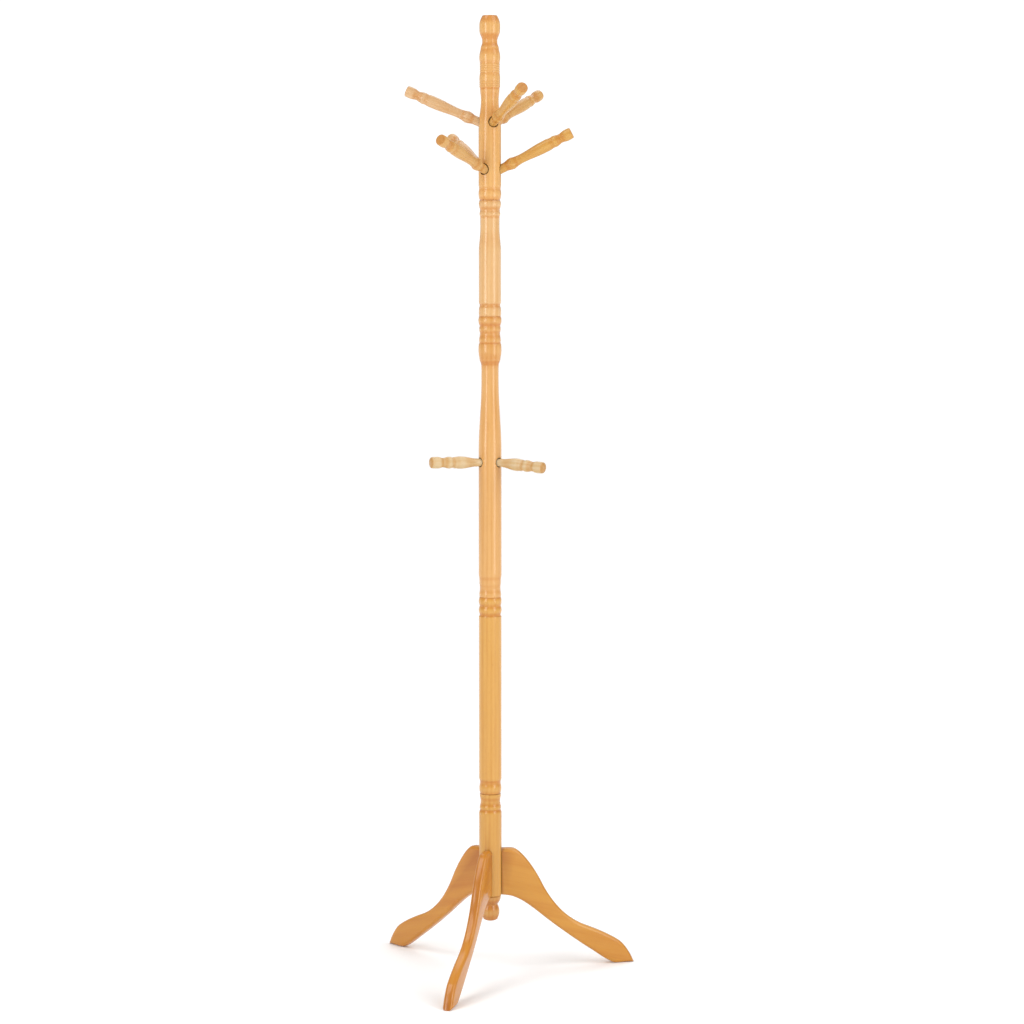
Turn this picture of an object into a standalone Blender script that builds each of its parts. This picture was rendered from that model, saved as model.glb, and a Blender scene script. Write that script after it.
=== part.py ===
"""Standing coat rack of turned wood, 1.83 m tall, that comes apart into screwed-together pieces.

The post is five turned sections with its axis along Z. Steel studs in the lower ends screw into brass
inserts in the upper ends. Three S-curved board legs slide on dovetails up into slots in the base section,
and a turned pendant screwed in under them locks them. Nine turned pegs sit in counterbored sockets, each
held by a hanger bolt. The threads are drawn as plain rods, and touching pieces keep a small gap.
All the sizes are in millimetres, and turn into metres as the meshes are made. The frame stands on the
floor at Z = 0, in the middle of the object's box, with the front leg towards -Y.
"""

import math

import bmesh
import bpy
from mathutils import Matrix, Vector

MM = 0.001
COLLECTION = "standing_coat_rack"
FAR = 60.0  # how far a cutter runs past what it cuts
GAP = 0.3  # between pieces that touch

# Heights of the post, from the top of the finial down to the underside of the base section.
POST_TOP = 1830.0
TOP_JOINT = 1486.3
UPPER_JOINT = 1267.6
MIDDLE_JOINT = 731.6
LOWER_JOINT = 350.0
POST_BOTTOM = 150.0
PENDANT_BOTTOM = 100.0
PENDANT_CAP_STEP = 1.3  # by which the pendant's cap is smaller in radius than the base section
POST_SIDES = 24

# Radii of the plain stretches of the post.
HEAD_RADIUS = 21.2
UPPER_RADIUS = 20.9
MIDDLE_RADIUS = 21.8
LOWER_RADIUS = 21.6
BASE_RADIUS = 21.8

# Studs and inserts. A stud's upper part is wood screw, its lower part runs in the insert.
STUD_RADIUS = 4.0
STUD_ABOVE = 28.0
STUD_BELOW = 20.0
STUD_CHAMFER = 0.8
STUD_SIDES = 10
INSERT_RADIUS = 6.0
INSERT_LENGTH = 18.0
INSERT_SIDES = 12
BORE_SLACK = 1.5  # between the end of a stud or insert and the end of its bore

# Pegs. Each row is (name, azimuth, rise above level), in degrees.
PEG_SIDES = 12
UPPER_ROW_HEIGHT = 1632.7
UPPER_ROW = (("left", 188.0, 23.0), ("back", 69.5, 22.0), ("front", -51.5, 22.5))
LOWER_ROW_HEIGHT = 1544.3
LOWER_ROW = (("right", 12.0, 27.0), ("back", 134.5, 24.5), ("front", -108.0, 20.0))
SHORT_ROW_HEIGHT = 990.5
SHORT_ROW = (("right", -19.0, -3.0), ("back", 101.0, 0.0), ("left", -139.0, 1.8))
LONG_SOCKET_RADIUS = 10.4
LONG_SOCKET_DEPTH = 6.5
SHORT_SOCKET_RADIUS = 9.4
SHORT_SOCKET_DEPTH = 5.0
SOCKET_SIDES = 16
BOLT_RADIUS = 3.0
BOLT_IN_POST = 10.5
BOLT_IN_LONG_PEG = 34.0
BOLT_IN_SHORT_PEG = 26.0

# Legs. Their azimuths make the front one point along -Y.
LEG_AZIMUTHS = {"right": 30.0, "left": 150.0, "front": -90.0}
LEG_REACH = 289.0
LEG_TOP = 241.5
LEG_UNDERSIDE = 150.0
LEG_THICKNESS = 19.0
LEG_EDGE_ROUND = 6.5
TOE_PAD = 36.0
TENON_DEPTH = 9.0
TENON_WIDTH_AT_POST = 8.0
TENON_WIDTH_INSIDE = 12.0
TENON_TOP = LEG_TOP - 7.0

# The post stands off the origin, so that the origin is the middle of the box round the whole rack.
BACK_REACH = LEG_REACH * math.sin(math.radians(LEG_AZIMUTHS["right"])) + LEG_THICKNESS / 2
POST_Y = (LEG_REACH - BACK_REACH) / 2

# Finishes: colour (linear RGB), roughness, metallic.
POST_WOOD = ((0.80, 0.46, 0.17), 0.35, 0.0)
LEG_WOOD = ((0.66, 0.33, 0.11), 0.35, 0.0)
PEG_WOOD = ((0.82, 0.50, 0.20), 0.35, 0.0)
SHORT_PEG_WOOD = ((0.84, 0.58, 0.30), 0.35, 0.0)
ZINC_STEEL = ((0.62, 0.63, 0.65), 0.35, 1.0)
BRASS = ((0.78, 0.57, 0.24), 0.30, 1.0)


def clear_scene():
    for thing in list(bpy.data.objects):
        bpy.data.objects.remove(thing)


def make_collection(name):
    collection = bpy.data.collections.new(name)
    bpy.context.scene.collection.children.link(collection)
    return collection


def make_material(name, finish):
    colour, roughness, metallic = finish
    material = bpy.data.materials.new(name)
    material.use_nodes = True
    shader = material.node_tree.nodes["Principled BSDF"]
    shader.inputs["Base Color"].default_value = (*colour, 1.0)
    shader.inputs["Roughness"].default_value = roughness
    shader.inputs["Metallic"].default_value = metallic
    return material


class Outline:
    """Half of a turned piece's outline: (radius, height) points from its top down its outer side."""

    def __init__(self, radius, height):
        self.points = [(radius, height)]

    def line(self, radius, height):
        self.points.append((radius, height))
        return self

    def swell(self, radius, height, bulge, steps=3):
        """A bead, or with a negative bulge a cove, to the next point."""
        first_radius, first_height = self.points[-1]
        for step in range(1, steps + 1):
            t = step / steps
            swollen = first_radius + (radius - first_radius) * t + bulge * math.sin(math.pi * t)
            self.points.append((swollen, first_height + (height - first_height) * t))
        return self

    def ease(self, radius, height, steps=5):
        """A taper that leaves and arrives parallel to the axis."""
        first_radius, first_height = self.points[-1]
        for step in range(1, steps + 1):
            t = step / steps
            eased = (1 - math.cos(math.pi * t)) / 2
            self.points.append(
                (first_radius + (radius - first_radius) * eased, first_height + (height - first_height) * t)
            )
        return self


def turned_object(name, points, sides, collection):
    """Turns (radius, height) points about Z: from the axis's top to its bottom, or round a tube's wall."""
    mesh = bpy.data.meshes.new(name)
    vertices = [(radius * MM, 0.0, height * MM) for radius, height in points]
    edges = [(index, index + 1) for index in range(len(points) - 1)]
    if points[0][0] > 0:
        edges.append((len(points) - 1, 0))
    mesh.from_pydata(vertices, edges, [])
    turned = bpy.data.objects.new(name, mesh)
    collection.objects.link(turned)
    screw = turned.modifiers.new("turn", "SCREW")
    screw.steps = sides
    screw.render_steps = sides
    screw.use_merge_vertices = True
    screw.merge_threshold = 0.00001
    screw.use_smooth_shade = True
    return turned


def bored_points(outline, top_bore=None, bottom_bore=None):
    """Closes an outline to its axis, over a (radius, depth) bore in either end."""
    top = outline.points[0][1]
    bottom = outline.points[-1][1]
    points = []
    if top_bore:
        radius, depth = top_bore
        points += [(0.0, top - depth), (radius, top - depth), (radius, top)]
    else:
        points.append((0.0, top))
    points += outline.points
    if bottom_bore:
        radius, depth = bottom_bore
        points += [(radius, bottom), (radius, bottom + depth), (0.0, bottom + depth)]
    else:
        points.append((0.0, bottom))
    return points


def place_about_post(thing, azimuth=0.0, rise=0.0, radius=0.0, height=0.0):
    """Turns a piece modelled along +Z to point outwards from the post, rising above level."""
    outwards = Matrix.Rotation(math.radians(90.0 - rise), 4, "Y")
    seat = Matrix.Translation(Vector((radius, 0.0, height)) * MM)
    around = Matrix.Rotation(math.radians(azimuth), 4, "Z")
    thing.matrix_world = around @ seat @ outwards


def cut(thing, cutter):
    boolean = thing.modifiers.new("cut_" + cutter.name, "BOOLEAN")
    boolean.operation = "DIFFERENCE"
    boolean.solver = "EXACT"
    boolean.object = cutter


def make_cutter(thing):
    thing.hide_render = True
    thing.display_type = "WIRE"
    return thing


def finish_piece(thing, finish, frame):
    """Gives a piece its own material and hangs it on the rack's frame."""
    thing.data.materials.append(make_material(thing.name + "_finish", finish))
    thing.parent = frame


# The post, from the top down.


def top_section_outline():
    outline = Outline(13.4, POST_TOP)
    outline.line(15.6, 1826.5)  # flat-topped barrel
    outline.line(18.5, 1819.0)
    outline.line(19.5, 1811.5)
    outline.line(19.2, 1800.5)
    outline.ease(14.2, 1783.0, 4)
    outline.line(14.2, 1779.8)
    outline.ease(17.1, 1769.0, 3)  # neck flares to a fillet
    outline.line(17.3, 1766.8)
    outline.swell(18.3, 1740.5, 1.8)
    for groove in (1736.3, 1732.1, 1727.9, 1723.7):
        outline.swell(18.3, groove, 0.5, 2)  # four fine beads
    outline.swell(19.1, 1706.8, 0.75)
    for groove in (1703.4, 1700.0, 1696.6):
        outline.swell(19.0, groove, 0.5, 2)  # and three finer ones
    outline.line(18.3, 1695.2)
    outline.ease(16.7, 1673.0, 3)  # waist under the finial
    outline.ease(HEAD_RADIUS, 1621.0, 6)
    outline.line(HEAD_RADIUS, 1514.0)  # plain stretch that takes the long pegs
    outline.ease(20.3, 1506.5, 3)
    outline.swell(19.8, TOP_JOINT + GAP / 2, 1.3)
    return outline


def upper_section_outline():
    outline = Outline(19.8, TOP_JOINT - GAP / 2)
    outline.swell(19.3, 1470.5, 1.4)
    outline.swell(18.9, 1464.0, -0.3, 2)
    outline.swell(18.8, 1456.5, 0.7, 3)
    outline.line(18.3, 1454.5)
    outline.line(18.2, 1446.0)
    outline.line(18.2, 1433.0)
    outline.ease(UPPER_RADIUS, 1388.0, 5)
    outline.line(UPPER_RADIUS, 1293.0)
    outline.swell(19.7, 1285.5, -0.8, 3)
    outline.line(20.4, 1284.0)
    outline.line(21.0, 1276.0)
    outline.line(20.3, UPPER_JOINT + GAP / 2)
    return outline


def middle_section_outline():
    outline = Outline(20.3, UPPER_JOINT - GAP / 2)
    outline.swell(20.1, 1251.5, 1.7)
    outline.swell(20.0, 1246.5, -0.3, 2)
    outline.swell(19.7, 1239.0, 0.5, 2)
    outline.swell(19.7, 1228.5, -0.7, 3)
    outline.swell(20.0, 1217.0, 0.7, 3)
    outline.line(21.2, 1214.5)
    outline.swell(20.1, 1188.5, 1.2)  # bulb over the long taper
    outline.ease(16.6, 1174.0, 4)
    outline.line(16.4, 1166.0)
    outline.line(16.4, 1148.0)
    outline.ease(MIDDLE_RADIUS, 1008.0, 8)
    outline.line(MIDDLE_RADIUS, 776.0)
    outline.line(20.6, 764.5)
    outline.line(20.5, 758.0)
    outline.swell(20.4, 741.0, -0.7)
    outline.swell(20.3, MIDDLE_JOINT + GAP / 2, 0.5, 3)
    return outline


def lower_section_outline():
    outline = Outline(20.3, MIDDLE_JOINT - GAP / 2)
    outline.swell(20.6, 716.5, 1.3)
    outline.swell(20.6, 713.0, -0.2, 2)
    outline.swell(20.3, 699.0, 1.4)
    outline.line(20.1, 696.5)
    outline.line(LOWER_RADIUS, 694.0)
    outline.line(LOWER_RADIUS, 380.0)
    outline.line(20.0, 373.0)
    outline.line(20.0, 369.5)
    outline.swell(19.8, LOWER_JOINT + GAP / 2, 1.4)
    return outline


def base_section_outline():
    outline = Outline(20.2, LOWER_JOINT - GAP / 2)
    outline.line(20.3, 344.5)
    outline.swell(19.7, 327.5, -1.1)
    outline.swell(20.0, 319.5, 0.8, 3)
    outline.ease(BASE_RADIUS, 312.0, 3)
    outline.line(BASE_RADIUS, POST_BOTTOM)
    return outline


def pendant_outline():
    cap_radius = BASE_RADIUS - PENDANT_CAP_STEP
    outline = Outline(cap_radius, POST_BOTTOM - GAP)
    outline.line(19.8, 143.0)
    outline.swell(14.4, 133.0, 0.6)
    outline.line(14.2, 131.0)
    outline.swell(13.8, 103.0, 3.6, 6)  # ball
    outline.line(8.0, PENDANT_BOTTOM)
    return outline


def make_post(parts):
    """The five sections and the pendant, with bores for the hardware that joins them."""
    stud_bore = (STUD_RADIUS + GAP, STUD_ABOVE + BORE_SLACK)
    insert_bore = (INSERT_RADIUS + GAP, STUD_BELOW + BORE_SLACK + GAP)
    pendant_bore = (STUD_RADIUS + GAP, STUD_ABOVE + BORE_SLACK)
    sections = (
        ("top_post", top_section_outline(), None, stud_bore),
        ("upper_post", upper_section_outline(), insert_bore, stud_bore),
        ("middle_post", middle_section_outline(), insert_bore, stud_bore),
        ("lower_post", lower_section_outline(), insert_bore, stud_bore),
        ("base_post", base_section_outline(), insert_bore, insert_bore),
        ("bottom_pendant", pendant_outline(), pendant_bore, None),
    )
    made = {}
    for name, outline, top_bore, bottom_bore in sections:
        points = bored_points(outline, top_bore, bottom_bore)
        made[name] = turned_object(name, points, POST_SIDES, parts)
    return made


def make_joint_hardware(parts):
    """A stud and an insert at each joint; the pendant's pair is upside down, with its insert above."""
    made = {}
    joints = (
        ("top", TOP_JOINT, 1.0),
        ("upper", UPPER_JOINT, 1.0),
        ("middle", MIDDLE_JOINT, 1.0),
        ("lower", LOWER_JOINT, 1.0),
        ("pendant", POST_BOTTOM - GAP / 2, -1.0),
    )
    for name, height, up in joints:
        held_end = height + up * STUD_ABOVE
        free_end = height - up * STUD_BELOW
        stud = chamfered_rod(STUD_RADIUS, max(held_end, free_end), min(held_end, free_end))
        insert_top = height - up * GAP
        insert_end = insert_top - up * INSERT_LENGTH
        insert = tube_points(max(insert_top, insert_end), min(insert_top, insert_end))
        made[name + "_joint_stud"] = turned_object(name + "_joint_stud", stud, STUD_SIDES, parts)
        made[name + "_joint_insert"] = turned_object(name + "_joint_insert", insert, INSERT_SIDES, parts)
    return made


def chamfered_rod(radius, top, bottom):
    inner = radius - STUD_CHAMFER
    return [
        (0.0, top),
        (inner, top),
        (radius, top - STUD_CHAMFER),
        (radius, bottom + STUD_CHAMFER),
        (inner, bottom),
        (0.0, bottom),
    ]


def tube_points(top, bottom):
    """A threaded insert's wall."""
    inner = STUD_RADIUS + GAP
    return [
        (inner, top),
        (INSERT_RADIUS, top),
        (INSERT_RADIUS, bottom),
        (inner, bottom),
    ]


# The pegs. Along each peg, 0 is the post's surface and the tip is at the far end.


def long_peg_points():
    tip = Outline(9.2, 149.3)
    tip.line(10.4, 147.5)
    tip.line(10.8, 138.0)
    tip.ease(8.6, 125.0, 3)  # cove behind the end knob
    tip.line(10.1, 118.0)
    tip.swell(10.2, 109.0, 0.8, 2)
    tip.line(11.3, 98.0)
    tip.line(11.2, 90.0)
    tip.ease(8.6, 42.0, 3)  # long swelling shaft
    tip.line(9.4, 32.0)
    tip.line(11.5, 24.0)  # sharp collar
    tip.line(11.0, 21.5)
    tip.ease(8.6, 9.0, 2)
    tip.line(8.4, GAP - LONG_SOCKET_DEPTH)
    return bored_points(tip, None, (BOLT_RADIUS + GAP, BOLT_IN_LONG_PEG + LONG_SOCKET_DEPTH + BORE_SLACK))


def short_peg_points():
    tip = Outline(8.6, 101.5)
    tip.line(10.7, 99.0)
    tip.line(11.1, 92.5)
    tip.line(11.0, 86.0)
    tip.ease(9.0, 77.0, 2)
    tip.ease(11.3, 63.5, 2)
    tip.line(9.9, 55.5)
    tip.line(11.0, 52.0)
    tip.line(11.9, 41.0)
    tip.ease(7.8, 6.0, 3)
    tip.line(7.5, GAP - SHORT_SOCKET_DEPTH)
    return bored_points(tip, None, (BOLT_RADIUS + GAP, BOLT_IN_SHORT_PEG + SHORT_SOCKET_DEPTH + BORE_SLACK))


def socket_points(radius, depth):
    """A counterbore with a pilot hole below it, for the Boolean that cuts it into the post."""
    pilot = BOLT_RADIUS + GAP
    pilot_end = -depth - BOLT_IN_POST - GAP
    return [
        (0.0, FAR),
        (radius, FAR),
        (radius, -depth),
        (pilot, -depth),
        (pilot, pilot_end),
        (0.0, pilot_end),
    ]


def make_peg_row(row, prefix, height, post_radius, sizes, post, parts, cutters):
    """Pegs of one row with their hanger bolts, and the sockets that they sit in."""
    peg_points, socket_radius, socket_depth, bolt_in_peg = sizes
    made = {}
    for name, azimuth, rise in row:
        peg_name = f"{prefix}_peg_{name}"
        bolt_points = chamfered_rod(BOLT_RADIUS, bolt_in_peg, -socket_depth - BOLT_IN_POST)
        peg = turned_object(peg_name, peg_points, PEG_SIDES, parts)
        bolt = turned_object(peg_name + "_bolt", bolt_points, STUD_SIDES, parts)
        socket = socket_points(socket_radius, socket_depth)
        cutter = make_cutter(turned_object(peg_name + "_socket", socket, SOCKET_SIDES, cutters))
        for thing in (peg, bolt, cutter):
            place_about_post(thing, azimuth, rise, post_radius, height)
        cut(post, cutter)
        made[peg_name] = peg
        made[peg_name + "_bolt"] = bolt
    return made


# The legs, each drawn in the plane that runs out from the post: x outwards, y up.


def leg_outline_handles():
    """Bezier points of a leg's outline: (point, left handle, right handle), from the post round the toe."""
    toe_heel = LEG_REACH - TOE_PAD
    inside = BASE_RADIUS - TENON_DEPTH  # trimmed back to the post afterwards
    return (
        ((inside, LEG_TOP), (inside, LEG_TOP), (inside + 10, LEG_TOP)),
        ((44, LEG_TOP - 1), (36, LEG_TOP), (58, LEG_TOP - 3)),
        ((100, 173), (84, 205), (122, 128)),
        ((190, 79), (152, 95), (212, 70)),
        ((256, 46), (238, 58), (270, 38)),
        ((LEG_REACH, 0), (284, 14), (LEG_REACH, 0)),
        ((toe_heel, 0), (toe_heel, 0), (toe_heel - 10, 0)),
        ((206, 27), (224, 14), (178, 46)),
        ((118, 92), (148, 68), (92, 113)),
        ((44, LEG_UNDERSIDE - 5), (68, 136), (36, LEG_UNDERSIDE - 2)),
        ((inside, LEG_UNDERSIDE), (inside + 8, LEG_UNDERSIDE), (inside, LEG_UNDERSIDE)),
    )


def mesh_from_flat_curve(name, handles, thickness, collection):
    """Extrudes a flat closed Bezier outline, and turns it into one welded mesh standing upright."""
    curve = bpy.data.curves.new(name, "CURVE")
    curve.dimensions = "2D"
    curve.fill_mode = "BOTH"
    curve.extrude = thickness / 2 * MM
    curve.resolution_u = 4
    spline = curve.splines.new("BEZIER")
    spline.bezier_points.add(len(handles) - 1)
    spline.use_cyclic_u = True
    for bezier, (point, left, right) in zip(spline.bezier_points, handles):
        bezier.co = Vector((*point, 0.0)) * MM
        bezier.handle_left = Vector((*left, 0.0)) * MM
        bezier.handle_right = Vector((*right, 0.0)) * MM
    drawn = bpy.data.objects.new(name, curve)
    collection.objects.link(drawn)
    evaluated = drawn.evaluated_get(bpy.context.evaluated_depsgraph_get())
    mesh = bpy.data.meshes.new_from_object(evaluated)
    bpy.data.objects.remove(drawn)
    mesh.transform(Matrix.Rotation(math.radians(90.0), 4, "X"))
    weld(mesh)
    made = bpy.data.objects.new(name, mesh)
    collection.objects.link(made)
    return made


def weld(mesh):
    """Joins a converted curve's loose caps, makes each flat one face, and turns the faces outwards."""
    edit = bmesh.new()
    edit.from_mesh(mesh)
    bmesh.ops.remove_doubles(edit, verts=edit.verts, dist=0.00001)
    bmesh.ops.dissolve_limit(edit, angle_limit=math.radians(0.2), verts=edit.verts, edges=edit.edges)
    bmesh.ops.recalc_face_normals(edit, faces=edit.faces)
    edit.to_mesh(mesh)
    edit.free()


def straight(*points):
    """Handles for an outline with straight sides."""
    return tuple((point, point, point) for point in points)


def dovetail_bar(name, grow, bottom, top, collection):
    """An upright bar with a dovetail section, wider towards the post's middle."""
    inner = BASE_RADIUS - TENON_DEPTH - grow
    outer = BASE_RADIUS + TENON_DEPTH / 2
    slope = (TENON_WIDTH_INSIDE - TENON_WIDTH_AT_POST) / 2 / TENON_DEPTH
    half_inner = TENON_WIDTH_INSIDE / 2 + grow
    half_outer = half_inner - slope * (outer - inner)
    section = straight((inner, -half_inner), (outer, -half_outer), (outer, half_outer), (inner, half_inner))
    bar = mesh_from_flat_curve(name, section, top - bottom, collection)
    bar.data.transform(Matrix.Rotation(math.radians(-90.0), 4, "X"))
    bar.data.transform(Matrix.Translation(Vector((0.0, 0.0, (top + bottom) / 2)) * MM))
    return bar


def add_modifier(thing, kind, **settings):
    modifier = thing.modifiers.new(kind.lower(), kind)
    for setting, value in settings.items():
        setattr(modifier, setting, value)


def make_legs(base_post, parts, cutters):
    """Each leg is a rounded board, hollowed to fit the post, with a dovetail tenon joined on."""
    post_space = [
        (0.0, LEG_TOP + FAR),
        (BASE_RADIUS + GAP, LEG_TOP + FAR),
        (BASE_RADIUS + GAP, LEG_UNDERSIDE - FAR),
        (0.0, LEG_UNDERSIDE - FAR),
    ]
    hollow = make_cutter(turned_object("post_space", post_space, POST_SIDES, cutters))
    tenon = make_cutter(dovetail_bar("tenon_shape", 0.0, LEG_UNDERSIDE + GAP, TENON_TOP, cutters))
    made = {}
    for name, azimuth in LEG_AZIMUTHS.items():
        leg = mesh_from_flat_curve("leg_" + name, leg_outline_handles(), LEG_THICKNESS, parts)
        add_modifier(
            leg, "BEVEL", width=LEG_EDGE_ROUND * MM, segments=2, limit_method="ANGLE",
            angle_limit=math.radians(50.0), use_clamp_overlap=False,
        )
        cut(leg, hollow)
        add_modifier(leg, "BOOLEAN", operation="UNION", solver="EXACT", object=tenon)
        bake(leg)
        leg.data.transform(Matrix.Rotation(math.radians(azimuth), 4, "Z"))
        slot_name = f"leg_{name}_slot"
        slot = make_cutter(dovetail_bar(slot_name, GAP, LEG_UNDERSIDE - FAR, TENON_TOP + GAP, cutters))
        slot.data.transform(Matrix.Rotation(math.radians(azimuth), 4, "Z"))
        cut(base_post, slot)
        made["leg_" + name] = leg
    return made


def bake(thing):
    """Applies a piece's modifiers to its mesh, so that the piece can then be turned into place."""
    evaluated = thing.evaluated_get(bpy.context.evaluated_depsgraph_get())
    thing.data = bpy.data.meshes.new_from_object(evaluated)
    thing.modifiers.clear()


def build():
    clear_scene()
    parts = make_collection(COLLECTION)
    cutters = make_collection("cutters")
    frame = bpy.data.objects.new("rack_frame", None)
    parts.objects.link(frame)
    post = make_post(parts)
    hardware = make_joint_hardware(parts)
    legs = make_legs(post["base_post"], parts, cutters)
    long_sizes = (long_peg_points(), LONG_SOCKET_RADIUS, LONG_SOCKET_DEPTH, BOLT_IN_LONG_PEG)
    short_sizes = (short_peg_points(), SHORT_SOCKET_RADIUS, SHORT_SOCKET_DEPTH, BOLT_IN_SHORT_PEG)
    head = post["top_post"]
    middle = post["middle_post"]
    long_pegs = make_peg_row(
        UPPER_ROW, "upper", UPPER_ROW_HEIGHT, HEAD_RADIUS, long_sizes, head, parts, cutters
    )
    long_pegs |= make_peg_row(
        LOWER_ROW, "lower", LOWER_ROW_HEIGHT, HEAD_RADIUS, long_sizes, head, parts, cutters
    )
    short_pegs = make_peg_row(
        SHORT_ROW, "short", SHORT_ROW_HEIGHT, MIDDLE_RADIUS, short_sizes, middle, parts, cutters
    )
    woods = ((post, POST_WOOD), (legs, LEG_WOOD), (long_pegs, PEG_WOOD), (short_pegs, SHORT_PEG_WOOD))
    for pieces, wood in woods:
        for name, piece in pieces.items():
            finish_piece(piece, ZINC_STEEL if name.endswith("_bolt") else wood, frame)
    for name, piece in hardware.items():
        finish_piece(piece, BRASS if name.endswith("_insert") else ZINC_STEEL, frame)
    for cutter in cutters.objects:
        cutter.parent = frame
    frame.location = Vector((0.0, POST_Y, 0.0)) * MM


build()
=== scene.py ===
"""Standing coat rack of turned and lacquered rubberwood, built up in the order in which it is put together.

The legs go into the base section and the pendant locks them. The other sections of the post are screwed on
from the bottom up, and then the pegs go in. Sizes are in millimetres, and turn into metres in the meshes.
Heights are from the floor. Each wooden piece carries its place in its own billet or board, with the grain
along Z, so that the figure runs the right way through every piece.
"""

import math

import bmesh
import bpy
import numpy as np
from mathutils import Euler, Matrix, Vector
from mathutils.geometry import interpolate_bezier


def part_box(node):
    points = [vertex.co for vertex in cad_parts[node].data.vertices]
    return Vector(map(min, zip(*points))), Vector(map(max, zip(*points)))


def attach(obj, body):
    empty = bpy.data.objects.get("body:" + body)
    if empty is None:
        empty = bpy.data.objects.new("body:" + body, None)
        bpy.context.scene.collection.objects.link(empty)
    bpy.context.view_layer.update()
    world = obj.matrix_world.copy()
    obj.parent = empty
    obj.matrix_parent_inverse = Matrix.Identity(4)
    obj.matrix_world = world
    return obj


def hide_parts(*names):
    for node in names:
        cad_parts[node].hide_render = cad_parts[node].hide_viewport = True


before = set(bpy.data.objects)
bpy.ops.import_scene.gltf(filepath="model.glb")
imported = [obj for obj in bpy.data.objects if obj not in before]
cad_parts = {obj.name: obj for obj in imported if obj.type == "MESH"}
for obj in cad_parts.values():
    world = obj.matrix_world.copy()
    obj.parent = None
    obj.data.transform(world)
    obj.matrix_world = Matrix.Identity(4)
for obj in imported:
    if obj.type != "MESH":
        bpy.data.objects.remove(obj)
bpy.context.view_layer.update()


# The base section: a short turned billet of rubberwood that carries the whole post. Three dovetail slots are
# cut up into it from below for the legs, and a threaded insert in each end takes a stud.

MM = 0.001
POST_SIDES = 96
BASE_RADIUS = 21.8
STUD_BORE = (4.3, 29.5)  # radius and depth, in the lower end of a section
INSERT_BORE = (6.3, 21.8)  # in the upper end of a section, and at both ends of this one
FIT_GAP = 0.3  # between pieces that touch


def add_node(tree, kind, links=None, values=None, **settings):
    """Adds a node with its settings, then sets some of its inputs and links others."""
    node = tree.nodes.new(kind)
    for setting, value in settings.items():
        setattr(node, setting, value)
    for socket, value in (values or {}).items():
        node.inputs[socket].default_value = value
    for socket, source in (links or {}).items():
        tree.links.new(source, node.inputs[socket])
    return node


def linear(code):
    """The linear colour of an sRGB hex code."""
    shares = [int(code[start : start + 2], 16) / 255 for start in (1, 3, 5)]
    return tuple(((s + 0.055) / 1.055) ** 2.4 if s > 0.04045 else s / 12.92 for s in shares) + (1.0,)


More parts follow.
